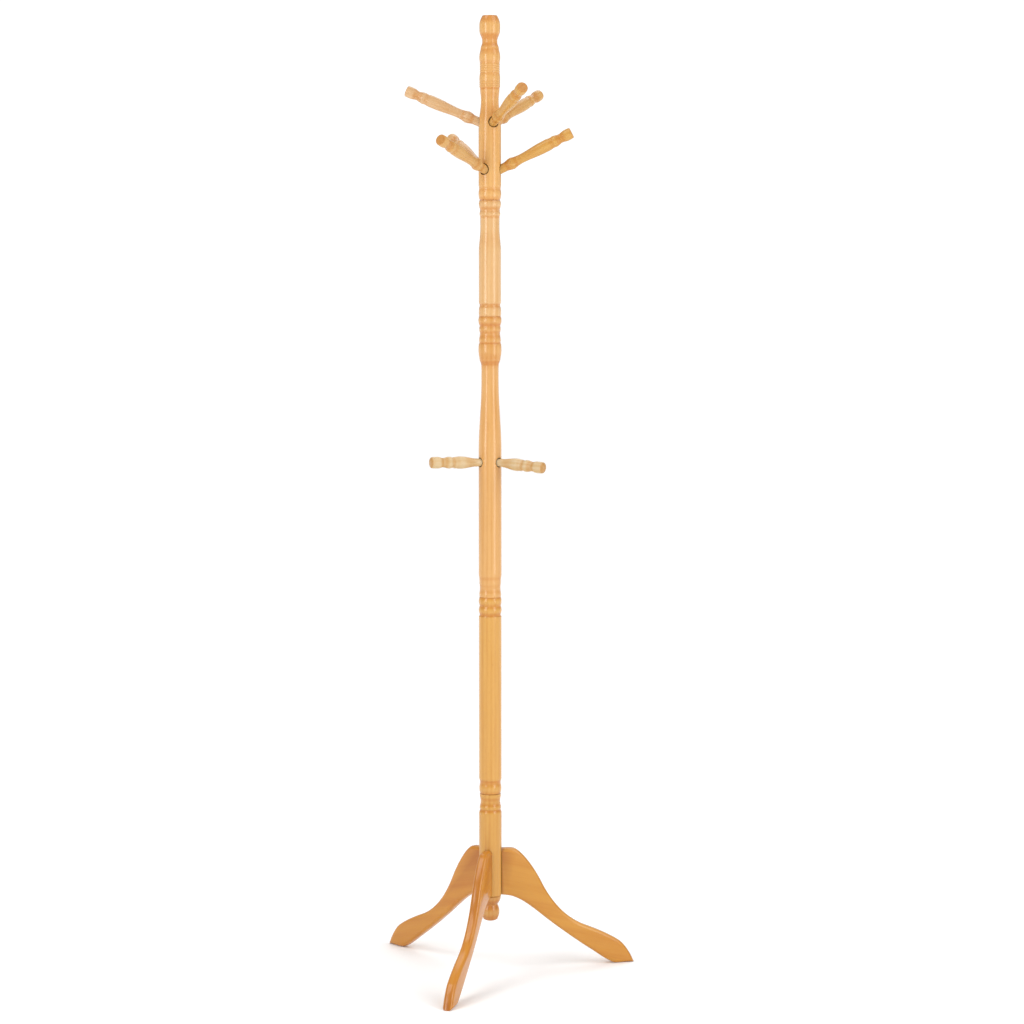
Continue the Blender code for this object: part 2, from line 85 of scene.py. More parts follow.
def lacquered_rubberwood(name, pale, honey, amber, gloss=0.8, thirst_and_shade=0.3, bored=False):
    """Rubberwood, turned or routed, sanded and sprayed with a clear satin lacquer.

    It is a pale, even, straight-grained wood. The eye sees soft honey streaks along the grain, faint growth
    bands, short brown vessel lines, a darker amber tint in the grooves, partly lacquer pooling there and
    partly painted shade, and one soft sheen.
    """
    material = bpy.data.materials.new(name)
    material.use_nodes = True
    tree = material.node_tree
    shader = tree.nodes["Principled BSDF"]
    place = add_node(tree, "ShaderNodeAttribute", attribute_name="grain_place").outputs["Vector"]

    def stretched(width, length, detail, roughness):
        """Noise in flecks of that width and length, in metres."""
        counts = (1 / width, 1 / width, 1 / length)
        scaled = add_node(tree, "ShaderNodeVectorMath", {0: place}, {1: counts}, operation="MULTIPLY")
        return add_node(
            tree,
            "ShaderNodeTexNoise",
            {"Vector": scaled.outputs["Vector"]},
            {"Scale": 1.0, "Detail": detail, "Roughness": roughness},
        ).outputs["Fac"]

    def marked(attribute):
        return add_node(tree, "ShaderNodeAttribute", attribute_name=attribute).outputs["Fac"]

    def ranged(value, limits):
        return add_node(tree, "ShaderNodeMapRange", {"Value": value}, limits).outputs["Result"]

    def laid_over(under, share, colour, blend_type="MIX"):
        """A colour over another, by a share."""
        links = {"Factor": share, 6: under}
        mix = add_node(
            tree, "ShaderNodeMix", links, {7: colour}, data_type="RGBA", blend_type=blend_type
        )
        return mix.outputs[2]

    def weigh(shares):
        """Adds up (output, weight) pairs."""
        total = None
        for source, weight in shares:
            links = {0: source} if total is None else {0: source, 2: total}
            values = {1: weight, 2: 0.0}
            total = add_node(tree, "ShaderNodeMath", links, values, operation="MULTIPLY_ADD").outputs["Value"]
        return total

    # Growth bands 8 mm apart, round a pith that lay outside the billet.
    pith_place = {"Location": (0.085, 0.035, 0.0), "Scale": (1, 1, 0.05)}
    pith = add_node(tree, "ShaderNodeMapping", {"Vector": place}, pith_place)
    band_spacing = 0.008
    rings = add_node(
        tree,
        "ShaderNodeTexWave",
        {"Vector": pith.outputs["Vector"]},
        {"Scale": 2 * math.pi / 20 / band_spacing, "Distortion": 3.0, "Detail": 2.0, "Detail Scale": 0.25},
        wave_type="RINGS",
        rings_direction="Z",
    ).outputs["Fac"]
    streaks = stretched(0.007, 0.16, 3.0, 0.55)
    fibres = stretched(0.0014, 0.03, 2.0, 0.6)
    drift = stretched(0.05, 0.30, 1.0, 0.5)
    # Real vessel lines are 0.2 mm wide. They are drawn 0.6 mm wide so that they show at all.
    vessels = stretched(0.0006, 0.009, 1.0, 0.5)

    figure = weigh([(rings, 0.12), (streaks, 0.45), (drift, 0.30), (fibres, 0.13)])
    tones = add_node(tree, "ShaderNodeValToRGB", {"Fac": figure})
    ramp = tones.color_ramp
    ramp.elements[0].position, ramp.elements[0].color = 0.34, linear(amber)
    ramp.elements[1].position, ramp.elements[1].color = 0.66, linear(pale)
    middle = ramp.elements.new(0.50)
    middle.color = linear(honey)
    line = ranged(vessels, {"From Min": 0.60, "From Max": 0.72, "To Max": 0.30})
    veined = laid_over(tones.outputs["Color"], line, linear("#B97A3C"))
    # Painted shade: the grooves are darkened and warmed, partly for lacquer pooling in them and partly for
    # the shade and warm bounce light that fall there.
    glazed_and_shaded = laid_over(veined, marked("lacquer_pool_and_groove_shade"), (0.88, 0.68, 0.44, 1.0), "MULTIPLY")
    # Where the surface cuts across the grain, the open ends drink more lacquer and go brown. On the legs this
    # is made stronger, and there the browner rounded edges are partly painted shade.
    drunk_and_shaded = ranged(marked("end_grain"), {"From Min": 0.05, "From Max": 0.65, "To Max": thirst_and_shade})
    browned = laid_over(glazed_and_shaded, drunk_and_shaded, (0.62, 0.42, 0.24, 1.0), "MULTIPLY")
    # Painted shade: the walls inside the peg sockets are painted dark brown, standing in for the shade down
    # in the gap round each peg. The dark's edge is kept sharp at the mouth.
    depth = marked("socket_shade")
    mouth = {"From Min": 0.02, "From Max": 0.12}
    socket_shaded = laid_over(browned, ranged(depth, mouth), linear("#5A3608"))
    # Each board and billet is deepened by its own amount: partly its own tone, and partly painted shade where
    # a piece stands in less light.
    toned_and_shaded = laid_over(socket_shaded, marked("board_tone_and_shade"), (0.90, 0.72, 0.20, 1.0), "MULTIPLY")
    tree.links.new(toned_and_shaded, shader.inputs["Base Color"])

    sheen = ranged(fibres, {"From Min": 0.3, "From Max": 0.7, "To Min": 0.36, "To Max": 0.46})
    tree.links.new(sheen, shader.inputs["Roughness"])
    relief = weigh([(vessels, -0.5), (fibres, 0.5)])
    bump = add_node(tree, "ShaderNodeBump", {"Height": relief}, {"Strength": 0.25, "Distance": 0.00006})
    tree.links.new(bump.outputs["Normal"], shader.inputs["Normal"])
    # Wood soaked with lacquer hardly reflects by itself: the gloss is the coat's.
    shader.inputs["IOR"].default_value = 1.5
    shader.inputs["Specular IOR Level"].default_value = 0.15
    shader.inputs["Coat Weight"].default_value = gloss
    shader.inputs["Coat Roughness"].default_value = 0.15
    if bored:
        # The spray doesn't reach down into the peg sockets.
        bare = ranged(depth, {**mouth, "To Min": gloss, "To Max": 0.0})
        tree.links.new(bare, shader.inputs["Coat Weight"])
    return material


def turned_outline(start, *cuts):
    """(radius, height) points down a turned piece's side, from (radius, height) cuts.

    A third value swells the way there into a bead, or hollows it when negative. "ease" is a taper that
    leaves and arrives parallel to the axis.
    """
    ring_spacing, end_ring, long_stretch = 1.2, 0.8, 4.0
    points = [start]
    for cut in cuts:
        (radius, height), (end_radius, end_height) = points[-1], cut[:2]
        shape = cut[2] if len(cut) > 2 else None
        length = abs(end_height - height)
        steps = max(6, min(24, int(length / ring_spacing)))
        shares = [step / steps for step in range(1, steps + 1)]
        if shape is None:
            # Close rings at both ends keep the shading of a long plain stretch true.
            shares = [end_ring / length, 1 - end_ring / length, 1.0] if length > long_stretch else [1.0]
        for t in shares:
            share = (1 - math.cos(math.pi * t)) / 2 if shape == "ease" else t
            swell = 0.0 if shape in (None, "ease") else shape * math.sin(math.pi * t)
            side = radius + (end_radius - radius) * share + swell
            points.append((side, height + (end_height - height) * t))
    return points


def lathe_tree():
    """Geometry Nodes that turn an outline about Z: it is swept round a circle as thin as a pin."""
    tree = bpy.data.node_groups.new("turn_on_lathe", "GeometryNodeTree")
    inputs = (("Outline", "Geometry"), ("Sides", "Int"), ("Pin radius", "Float"), ("Finish", "Material"))
    for name, kind in inputs:
        tree.interface.new_socket(name, in_out="INPUT", socket_type="NodeSocket" + kind)
    tree.interface.new_socket("Turned piece", in_out="OUTPUT", socket_type="NodeSocketGeometry")
    given = add_node(tree, "NodeGroupInput").outputs
    outline = add_node(tree, "GeometryNodeMeshToCurve", {"Mesh": given["Outline"]})
    pin = add_node(
        tree,
        "GeometryNodeCurvePrimitiveCircle",
        {"Resolution": given["Sides"], "Radius": given["Pin radius"]},
    )
    swept = add_node(
        tree,
        "GeometryNodeCurveToMesh",
        {"Curve": pin.outputs["Curve"], "Profile Curve": outline.outputs["Curve"]},
    )
    reach = add_node(tree, "ShaderNodeMath", {0: given["Pin radius"]}, {1: 2.5}, operation="MULTIPLY")
    closed = add_node(
        tree,
        "GeometryNodeMergeByDistance",
        {"Geometry": swept.outputs["Mesh"], "Distance": reach.outputs["Value"]},
    )
    smooth = add_node(tree, "GeometryNodeSetShadeSmooth", {"Geometry": closed.outputs["Geometry"]})
    whole = add_node(tree, "GeometryNodeRealizeInstances", {"Geometry": smooth.outputs["Geometry"]})
    finished = add_node(
        tree, "GeometryNodeSetMaterial", {"Geometry": whole.outputs["Geometry"], "Material": given["Finish"]}
    )
    add_node(tree, "NodeGroupOutput", {"Turned piece": finished.outputs["Geometry"]})
    return tree


def run_tree(name, mesh, tree, inputs):
    """Runs a tree on a mesh once, and returns an object with the plain mesh that comes out."""
    thing = bpy.data.objects.new(name, mesh)
    bpy.context.scene.collection.objects.link(thing)
    modifier = thing.modifiers.new("shape", "NODES")
    modifier.node_group = tree
    for item in tree.interface.items_tree:
        if item.in_out == "INPUT" and item.name in inputs:
            modifier[item.identifier] = inputs[item.name]
    return baked(thing)


def baked(thing):
    """Applies an object's modifiers, so that a plain mesh is left."""
    evaluated = thing.evaluated_get(bpy.context.evaluated_depsgraph_get())
    thing.data = bpy.data.meshes.new_from_object(evaluated)
    thing.modifiers.clear()
    return thing


LATHE = lathe_tree()


def turned(name, outline, sides, finish, top_bore=None, bottom_bore=None):
    """Turns an outline in mm, with a bore in either end."""
    points = list(outline)
    (_, top), (_, bottom) = points[0], points[-1]
    if top_bore:
        radius, depth = top_bore
        points = [(0.0, top - depth), (radius, top - depth), (radius, top)] + points
    else:
        points = [(0.0, top)] + points
    if bottom_bore:
        radius, depth = bottom_bore
        points += [(radius, bottom), (radius, bottom + depth), (0.0, bottom + depth)]
    else:
        points.append((0.0, bottom))
    mesh = bpy.data.meshes.new(name)
    edges = [(index, index + 1) for index in range(len(points) - 1)]
    mesh.from_pydata([(radius * MM, -height * MM, 0.0) for radius, height in points], edges, [])
    return run_tree(name, mesh, LATHE, {"Sides": sides, "Pin radius": 0.00001, "Finish": finish})


def cut_away(thing, cutters, operation="DIFFERENCE"):
    """Cuts meshes out of an object, or joins them on."""
    for cutter in cutters:
        boolean = thing.modifiers.new("cut", "BOOLEAN")
        boolean.operation = operation
        boolean.solver = "EXACT"
        boolean.object = cutter
    baked(thing)
    for cutter in cutters:
        bpy.data.objects.remove(cutter)
    return thing


def crisp(thing, degrees=32.0):
    """Smooth faces, with hard edges where the surface turns sharply."""
    thing.data.shade_smooth()
    thing.data.set_sharp_from_angle(angle=math.radians(degrees))
    return thing


def side_of(outline):
    """An outline's heights and radii, from the foot up."""
    heights = np.array([height for _, height in outline])[::-1]
    radii = np.array([radius for radius, _ in outline])[::-1]
    order = np.argsort(heights, kind="stable")
    return heights[order], radii[order]


def pool_and_shade_shares(outline, reach=4.0, allowance=0.12, full=1.1, spacing=0.5):
    """How far lacquer fills each height of a turned piece, and how much painted groove shade it gets:
    (heights, shares from 0 to 1).
    """
    heights, radii = side_of(outline)
    fine = np.arange(heights.min(), heights.max(), spacing)
    side = np.interp(fine, heights, radii)
    span = int(reach / spacing)
    ridge = np.array([side[max(0, i - span) : i + span + 1].max() for i in range(len(side))])
    return fine, np.clip((ridge - side - allowance) / full, 0.0, 1.0)


def vectors_of(thing, kind):
    """A mesh's points ("co") or their normals ("normal"), one in each row."""
    values = np.empty(len(thing.data.vertices) * 3, np.float32)
    thing.data.vertices.foreach_get(kind, values)
    return values.reshape(-1, 3).astype(float)


def mark_wood(thing, shift, outline=None, to_billet=None):
    """Writes each point's place in its billet, with Z along the grain, and how much lacquer pools on it and
    painted groove shade darkens it.
    """
    points = vectors_of(thing, "co")
    if to_billet is not None:
        turn = np.array(to_billet)
        points = points @ turn[:3, :3].T + turn[:3, 3]
    places = thing.data.attributes.new("grain_place", "FLOAT_VECTOR", "POINT")
    places.data.foreach_set("vector", (points + np.array(shift)).astype(np.float32).ravel())
    normals = vectors_of(thing, "normal") @ (np.eye(3) if to_billet is None else turn[:3, :3]).T
    ends = thing.data.attributes.new("end_grain", "FLOAT", "POINT")
    ends.data.foreach_set("value", (normals[:, 2] ** 2).astype(np.float32))
    pool_and_shade = np.zeros(len(points))
    if outline is not None:
        heights, shares = pool_and_shade_shares(outline)
        pool_and_shade = np.interp(points[:, 2] / MM, heights, shares)
    depths = thing.data.attributes.new("lacquer_pool_and_groove_shade", "FLOAT", "POINT")
    depths.data.foreach_set("value", pool_and_shade.astype(np.float32))
    return thing


def socket_shade(thing, outline):
    """Marks the walls of a section's sockets, the points well inside its outline, where shade is painted."""
    points = vectors_of(thing, "co") / MM
    heights, radii = side_of(outline)
    side = np.interp(points[:, 2], heights, radii)
    margin = 0.4
    inside = np.clip(side - np.hypot(points[:, 0], points[:, 1]) - margin, 0.0, margin) / margin
    end_zone = 0.5  # the section's flat ends aren't darkened
    at_top = points[:, 2] > heights.max() - end_zone
    at_foot = points[:, 2] < heights.min() + end_zone
    inside[at_top | at_foot] = 0.0
    marks = thing.data.attributes.new("socket_shade", "FLOAT", "POINT")
    marks.data.foreach_set("value", inside.astype(np.float32))


def ends_of(node, drop=0.0):
    """The heights of a piece's top and bottom, in mm. A drop closes the gap of the joint below it."""
    low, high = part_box(node)
    return high.z / MM, low.z / MM - drop


def onto_post(thing):
    """Moves a piece made round the Z axis to the post, which stands off the origin."""
    low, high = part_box("base_post")
    thing.data.transform(Matrix.Translation(((low.x + high.x) / 2, (low.y + high.y) / 2, 0.0)))
    return thing


def mount(thing, slot, *nodes):
    """Puts a finished wooden piece in place of its plain solids."""
    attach(thing, "root")
    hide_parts(*nodes)


BASE_WOOD = lacquered_rubberwood("lacquered_rubberwood_base", "#D09B49", "#CC9443", "#C58937")
base_top, base_bottom = ends_of("base_post")
base_outline = turned_outline(
    (19.5, base_top),
    (20.2, base_top - 0.7),
    (20.3, 344.5),
    (19.7, 327.5, -1.1),
    (20.0, 319.5, 0.8),
    (BASE_RADIUS, 312.0, "ease"),
    (BASE_RADIUS, base_bottom + 1.0),
    (BASE_RADIUS - 1.0, base_bottom),
)
base_section = turned("base_section", base_outline, POST_SIDES, BASE_WOOD, INSERT_BORE, INSERT_BORE)


# The legs: three S-curved boards of rubberwood, 19 mm thick, band-sawn and routed round their edges. Each is
# hollowed to sit against the post, and a dovetail tenon on its inner end slides up into the base section.

LEG_AZIMUTHS = (30.0, 150.0, -90.0)
LEG_TONES_AND_SHADES = (0.0, 0.5, 0.65)  # how much deeper each board is painted: its own tone, and painted shade where it gets less light
LEG_HALF = 9.5
LEG_ROUND = 6.5
LEG_TOP, LEG_UNDERSIDE = 241.5, 150.0
LEG_REACH, TOE_HEEL = 289.0, 253.0
GRAIN_DIP = 15.0  # degrees by which the board's grain runs down as it runs outwards
TENON_IN, TENON_HALF_IN, TENON_HALF_OUT = 12.8, 6.0, 4.0
TENON_TOP = LEG_TOP - 7.0
SHADOW_GAP = 1.0  # between a leg's hollow and the post

LEG_INSIDE = TENON_IN  # well inside the post, and cut back to it
LEG_HANDLES = (
    ((LEG_INSIDE, LEG_TOP), (LEG_INSIDE, LEG_TOP), (LEG_INSIDE + 10, LEG_TOP)),
    ((44, LEG_TOP - 1), (36, LEG_TOP), (58, LEG_TOP - 3)),
    ((100, 173), (84, 205), (122, 128)),
    ((190, 79), (152, 95), (212, 70)),
    ((256, 46), (238, 58), (270, 38)),
    ((LEG_REACH, 0), (284, 14), (LEG_REACH, 0)),
    ((TOE_HEEL, 0), (TOE_HEEL, 0), (TOE_HEEL - 10, 0)),
    ((206, 27), (224, 14), (178, 46)),
    ((118, 92), (148, 68), (92, 113)),
    ((44, LEG_UNDERSIDE - 5), (68, 136), (36, LEG_UNDERSIDE - 2)),
    ((LEG_INSIDE, LEG_UNDERSIDE), (LEG_INSIDE + 8, LEG_UNDERSIDE), (LEG_INSIDE, LEG_UNDERSIDE)),
)


def leg_contour(handles, steps=14, clear=13.0):
    """Points round a leg's outline, none so near a sharp corner that rounding the edges folds it over."""
    sharp = ((LEG_INSIDE, LEG_TOP), (LEG_REACH, 0), (LEG_INSIDE, LEG_UNDERSIDE))
    corners = [Vector(corner) for corner in sharp]
    points = []
    for (start, _, leaving), (end, arriving, _) in zip(handles, handles[1:] + handles[:1]):
        curve = [start]
        if start != leaving or end != arriving:
            ends_and_handles = [Vector((*point, 0.0)) for point in (start, leaving, arriving, end)]
            curve = interpolate_bezier(*ends_and_handles, steps + 1)[:-1]
        points += [Vector(point[:2]) for point in curve]
    kept = []
    for point in points:
        nearest = min((point - corner).length for corner in corners)
        if nearest > clear or nearest < 0.01:
            kept.append(point)
    return kept


def inset(points, distance):
    """The outline moved inwards by a distance, corners mitred."""
    moved = []
    for index, point in enumerate(points):
        before = (point - points[index - 1]).normalized()
        after = (points[(index + 1) % len(points)] - point).normalized()
        inward = [Vector((side.y, -side.x)) for side in (before, after)]
        moved.append(point + (inward[0] + inward[1]) * distance / (1 + inward[0].dot(inward[1])))
    return moved


def board_mesh(name, contour, half, rounding, steps=7):
    """A board standing in the XZ plane, its edges rounded over on both faces."""
    edit = bmesh.new()
    layers = []
    for side in (-1, 1):
        turns = range(steps + 1) if side > 0 else range(steps, -1, -1)
        for step in turns:
            turn = step / steps * math.pi / 2
            ring = inset(contour, rounding * (1 - math.cos(turn)))
            y = side * (half - rounding + rounding * math.sin(turn))
            layers.append([edit.verts.new((p.x * MM, y * MM, p.y * MM)) for p in ring])
    for lower, upper in zip(layers, layers[1:]):
        for index in range(len(contour)):
            after = (index + 1) % len(contour)
            edit.faces.new((lower[index], lower[after], upper[after], upper[index]))
    edit.faces.new(layers[0][::-1])
    edit.faces.new(layers[-1])
    bmesh.ops.recalc_face_normals(edit, faces=edit.faces)
    mesh = bpy.data.meshes.new(name)
    edit.to_mesh(mesh)
    edit.free()
    return mesh


def dovetail(name, grow, bottom, top):
    """An upright bar with a dovetail section, wider towards the post's middle."""
    slope = (TENON_HALF_IN - TENON_HALF_OUT) / (BASE_RADIUS - TENON_IN)
    inner, outer = TENON_IN - grow, BASE_RADIUS + 4.5
    near, far = TENON_HALF_IN + grow, TENON_HALF_IN + grow - slope * (outer - inner)
    section = ((inner, -near), (outer, -far), (outer, far), (inner, near))
    mesh = bpy.data.meshes.new(name)
    corners = [(x * MM, y * MM, z * MM) for z in (bottom, top) for x, y in section]
    sides = [(i, (i + 1) % 4, (i + 1) % 4 + 4, i + 4) for i in range(4)]
    mesh.from_pydata(corners, [], [(3, 2, 1, 0), (4, 5, 6, 7), *sides])
    bar = bpy.data.objects.new(name, mesh)
    bpy.context.scene.collection.objects.link(bar)
    return bar


def seating_tree():
    """Geometry Nodes that put a piece on every seat point, each cut from another stretch of wood."""
    tree = bpy.data.node_groups.new("set_round_post", "GeometryNodeTree")
    inputs = (("Seats", "Geometry"), ("Piece", "Object"), ("Seed", "Int"), ("Finish", "Material"))
    for name, kind in inputs:
        tree.interface.new_socket(name, in_out="INPUT", socket_type="NodeSocket" + kind)
    tree.interface.new_socket("Set pieces", in_out="OUTPUT", socket_type="NodeSocketGeometry")
    given = add_node(tree, "NodeGroupInput").outputs

    def vector_on(name):
        """A vector that each point carries under a name."""
        kind = "GeometryNodeInputNamedAttribute"
        return add_node(tree, kind, None, {"Name": name}, data_type="FLOAT_VECTOR").outputs["Attribute"]

    rotation = add_node(tree, "FunctionNodeEulerToRotation", {"Euler": vector_on("seat_turn")})
    piece = add_node(tree, "GeometryNodeObjectInfo", {"Object": given["Piece"]}, {"As Instance": True})
    placed = add_node(
        tree,
        "GeometryNodeInstanceOnPoints",
        {
            "Points": given["Seats"],
            "Instance": piece.outputs["Geometry"],
            "Rotation": rotation.outputs["Rotation"],
        },
    )
    shift_limits = {0: (-2.0, -2.0, -2.0), 1: (2.0, 2.0, 2.0)}
    shift = add_node(
        tree, "FunctionNodeRandomValue", {"Seed": given["Seed"]}, shift_limits, data_type="FLOAT_VECTOR"
    )
    shifted = add_node(
        tree,
        "GeometryNodeStoreNamedAttribute",
        {"Geometry": placed.outputs["Instances"], "Value": shift.outputs["Value"]},
        {"Name": "billet_shift"},
        data_type="FLOAT_VECTOR",
        domain="INSTANCE",
    )
    whole = add_node(tree, "GeometryNodeRealizeInstances", {"Geometry": shifted.outputs["Geometry"]})
    both = {0: vector_on("grain_place"), 1: vector_on("billet_shift")}
    total = add_node(tree, "ShaderNodeVectorMath", both, operation="ADD")
    marked = add_node(
        tree,
        "GeometryNodeStoreNamedAttribute",
        {"Geometry": whole.outputs["Geometry"], "Value": total.outputs["Vector"]},
        {"Name": "grain_place"},
        data_type="FLOAT_VECTOR",
    )
    finished = add_node(
        tree, "GeometryNodeSetMaterial", {"Geometry": marked.outputs["Geometry"], "Material": given["Finish"]}
    )
    add_node(tree, "NodeGroupOutput", {"Set pieces": finished.outputs["Geometry"]})
    return tree


SEATING = seating_tree()


def set_round_post(name, piece, seats, tones_and_shades, seed, finish):
    """Sets copies of a piece on seats, which are 4 by 4 matrices in mm from the post's foot."""
    mesh = bpy.data.meshes.new(name)
    mesh.from_pydata([seat.translation * MM for seat in seats], [], [])
    turns = mesh.attributes.new("seat_turn", "FLOAT_VECTOR", "POINT")
    turns.data.foreach_set("vector", [angle for seat in seats for angle in seat.to_euler("XYZ")])
    mesh.attributes.new("board_tone_and_shade", "FLOAT", "POINT").data.foreach_set("value", tones_and_shades)
    made = run_tree(name, mesh, SEATING, {"Piece": piece, "Seed": seed, "Finish": finish})
    bpy.data.objects.remove(piece)
    return onto_post(made)


# The legs' end-grain browning is set high: along their rounded edges it is painted shade for the shadow of
# the rounding.
LEG_WOOD = lacquered_rubberwood("lacquered_rubberwood_legs", "#CC9034", "#C8892F", "#C27F26", thirst_and_shade=0.65)
leg_mesh = board_mesh("one_leg", leg_contour(LEG_HANDLES), LEG_HALF, LEG_ROUND)
one_leg = bpy.data.objects.new("one_leg", leg_mesh)
bpy.context.scene.collection.objects.link(one_leg)
hollow = BASE_RADIUS + SHADOW_GAP
hollow_top, hollow_foot = 320.0, 80.0  # well above and below the leg
post_space = turned("post_space", [(hollow, hollow_top), (hollow, hollow_foot)], POST_SIDES, None)
cut_away(one_leg, [post_space])
cut_away(one_leg, [dovetail("tenon", 0.0, LEG_UNDERSIDE + FIT_GAP, TENON_TOP)], "UNION")
crisp(one_leg)
along_board = Matrix.Rotation(math.radians(90.0 + GRAIN_DIP), 4, "Y").inverted()
mark_wood(one_leg, (0.0, 0.0, 0.0), None, along_board)
leg_seats = [Matrix.Rotation(math.radians(azimuth), 4, "Z") for azimuth in LEG_AZIMUTHS]
legs = set_round_post("legs", one_leg, leg_seats, LEG_TONES_AND_SHADES, 11, LEG_WOOD)
mount(legs, "leg_wood", "leg_right", "leg_left", "leg_front")

slots = []
slot_foot = 90.0  # below the section, so that the slot is open there
for azimuth in LEG_AZIMUTHS:
    slot_cutter = dovetail("slot", FIT_GAP, slot_foot, TENON_TOP + FIT_GAP)
    slot_cutter.data.transform(Matrix.Rotation(math.radians(azimuth), 4, "Z"))
    slots.append(slot_cutter)
cut_away(base_section, slots)
crisp(mark_wood(base_section, (0.31, 0.17, 0.0), base_outline))
mount(onto_post(base_section), "post_wood", "base_post")


# The pendant: a turned knob of rubberwood with a cap that covers the tenons. Its stud screws up into the base
# section, and its cap keeps the legs from sliding down out of their slots.

pendant_top, pendant_bottom = ends_of("bottom_pendant")
pendant_outline = turned_outline(
    (19.3, pendant_top),
    (20.5, pendant_top - 1.2),
    (19.8, 143.0),
    (14.4, 133.0, 0.6),
    (14.2, 131.0),
    (13.8, 103.0, 3.6),
    (8.0, pendant_bottom, 0.4),
)
PENDANT_WOOD = lacquered_rubberwood("lacquered_rubberwood_pendant", "#CB9752", "#C6914B", "#C0863E")
pendant = turned("pendant", pendant_outline, POST_SIDES, PENDANT_WOOD, STUD_BORE)
crisp(mark_wood(pendant, (0.9, 0.4, 0.0), pendant_outline))
mount(onto_post(pendant), "post_wood", "bottom_pendant")


# The lower section: a plain turned billet of rubberwood with two beads at its head and one at its foot. A
# stud in its lower end screws into the base section.

lower_top, lower_bottom = ends_of("lower_post")
lower_outline = turned_outline(
    (20.1, lower_top),
    (20.4, lower_top - 0.3),
    (20.6, 716.5, 1.3),
    (20.6, 713.0, -0.25),
    (20.3, 699.0, 1.4),
    (20.1, 696.5),
    (21.6, 694.0, "ease"),
    (21.6, 380.0),
    (20.0, 373.0, "ease"),
    (20.0, 369.5),
    (19.8, lower_bottom + 0.8, 1.4),
    (19.1, lower_bottom),
)
LOWER_WOOD = lacquered_rubberwood("lacquered_rubberwood_lower", "#D6A151", "#D19A4A", "#CA8E3D")
lower_section = turned("lower_section", lower_outline, POST_SIDES, LOWER_WOOD, INSERT_BORE, STUD_BORE)
crisp(mark_wood(lower_section, (1.7, 0.6, 0.3), lower_outline))
mount(onto_post(lower_section), "post_wood", "lower_post")


# The middle section: the longest turned billet, with a bulb and a long taper above its plain stretch. Three
# counterbored sockets round the foot of the taper take the short pegs.

PEG_SIDES = 48
SHORT_ROW_HEIGHT, MIDDLE_RADIUS = 990.5, 21.8
SHORT_PEGS = ((-19.0, -3.0), (101.0, 0.0), (-139.0, 1.8))  # azimuth, and rise above level
SHORT_SOCKET = (9.4, 5.0, 15.8)  # radius, depth, and the pilot hole's depth, both from the post's side
SHORT_PEG_BORE = (3.3, 32.5)  # radius and depth of the hanger bolt's bore
TIGHT_JOINT = 0.27  # of the gap below a section, closed where the joint hardly shows


def seat_of(azimuth, rise, radius, height):
    """Where a peg sits: its own Z axis points outwards from the post, rising above level."""
    around = Matrix.Rotation(math.radians(azimuth), 4, "Z")
    outwards = Matrix.Rotation(math.radians(90.0 - rise), 4, "Y")
    return around @ Matrix.Translation((radius, 0.0, height)) @ outwards


def sockets(pegs, socket, radius, height):
    """Cutters for a row's counterbores and pilot holes."""
    wide, deep, pilot = socket
    bolt_radius = SHORT_PEG_BORE[0]
    clear_of_post = 60.0
    cutters = []
    for azimuth, rise in pegs:
        outline = [(wide, clear_of_post), (wide, -deep), (bolt_radius, -deep), (bolt_radius, -pilot)]
        cutter = turned("socket", outline, PEG_SIDES, None)
        seat = seat_of(azimuth, rise, radius, height)
        seat.translation *= MM
        cutter.data.transform(seat)
        cutters.append(cutter)
    return cutters


middle_top, middle_bottom = ends_of("middle_post", TIGHT_JOINT)
middle_outline = turned_outline(
    (20.1, middle_top),
    (20.4, middle_top - 0.3),
    (20.1, 1251.5, 1.7),
    (20.0, 1246.5, -0.35),
    (19.7, 1239.0, 0.55),
    (19.7, 1228.5, -0.7),
    (20.0, 1217.0, 0.75),
    (21.2, 1214.8),
    (20.1, 1188.5, 1.2),
    (16.6, 1174.0, "ease"),
    (16.4, 1166.0),
    (16.4, 1148.0),
    (MIDDLE_RADIUS, 1008.0, "ease"),
    (MIDDLE_RADIUS, 776.0),
    (20.6, 764.5, "ease"),
    (20.5, 758.0),
    (20.4, 741.0, -0.75),
    (20.3, middle_bottom + 0.3, 0.55),
    (20.0, middle_bottom),
)
MIDDLE_WOOD = lacquered_rubberwood(
    "lacquered_rubberwood_middle", "#DBA765", "#D6A05D", "#CF944D", bored=True
)
middle_section = turned("middle_section", middle_outline, POST_SIDES, MIDDLE_WOOD, INSERT_BORE, STUD_BORE)
cut_away(middle_section, sockets(SHORT_PEGS, SHORT_SOCKET, MIDDLE_RADIUS, SHORT_ROW_HEIGHT))
crisp(mark_wood(middle_section, (2.3, 1.1, 0.7), middle_outline))
socket_shade(middle_section, middle_outline)
mount(onto_post(middle_section), "post_wood", "middle_post")


# The short pegs: three little turned pegs, level, a shade paler than the post. A hanger bolt holds each one
# in its counterbore, which is wider than the peg's neck and leaves a dark ring round it.

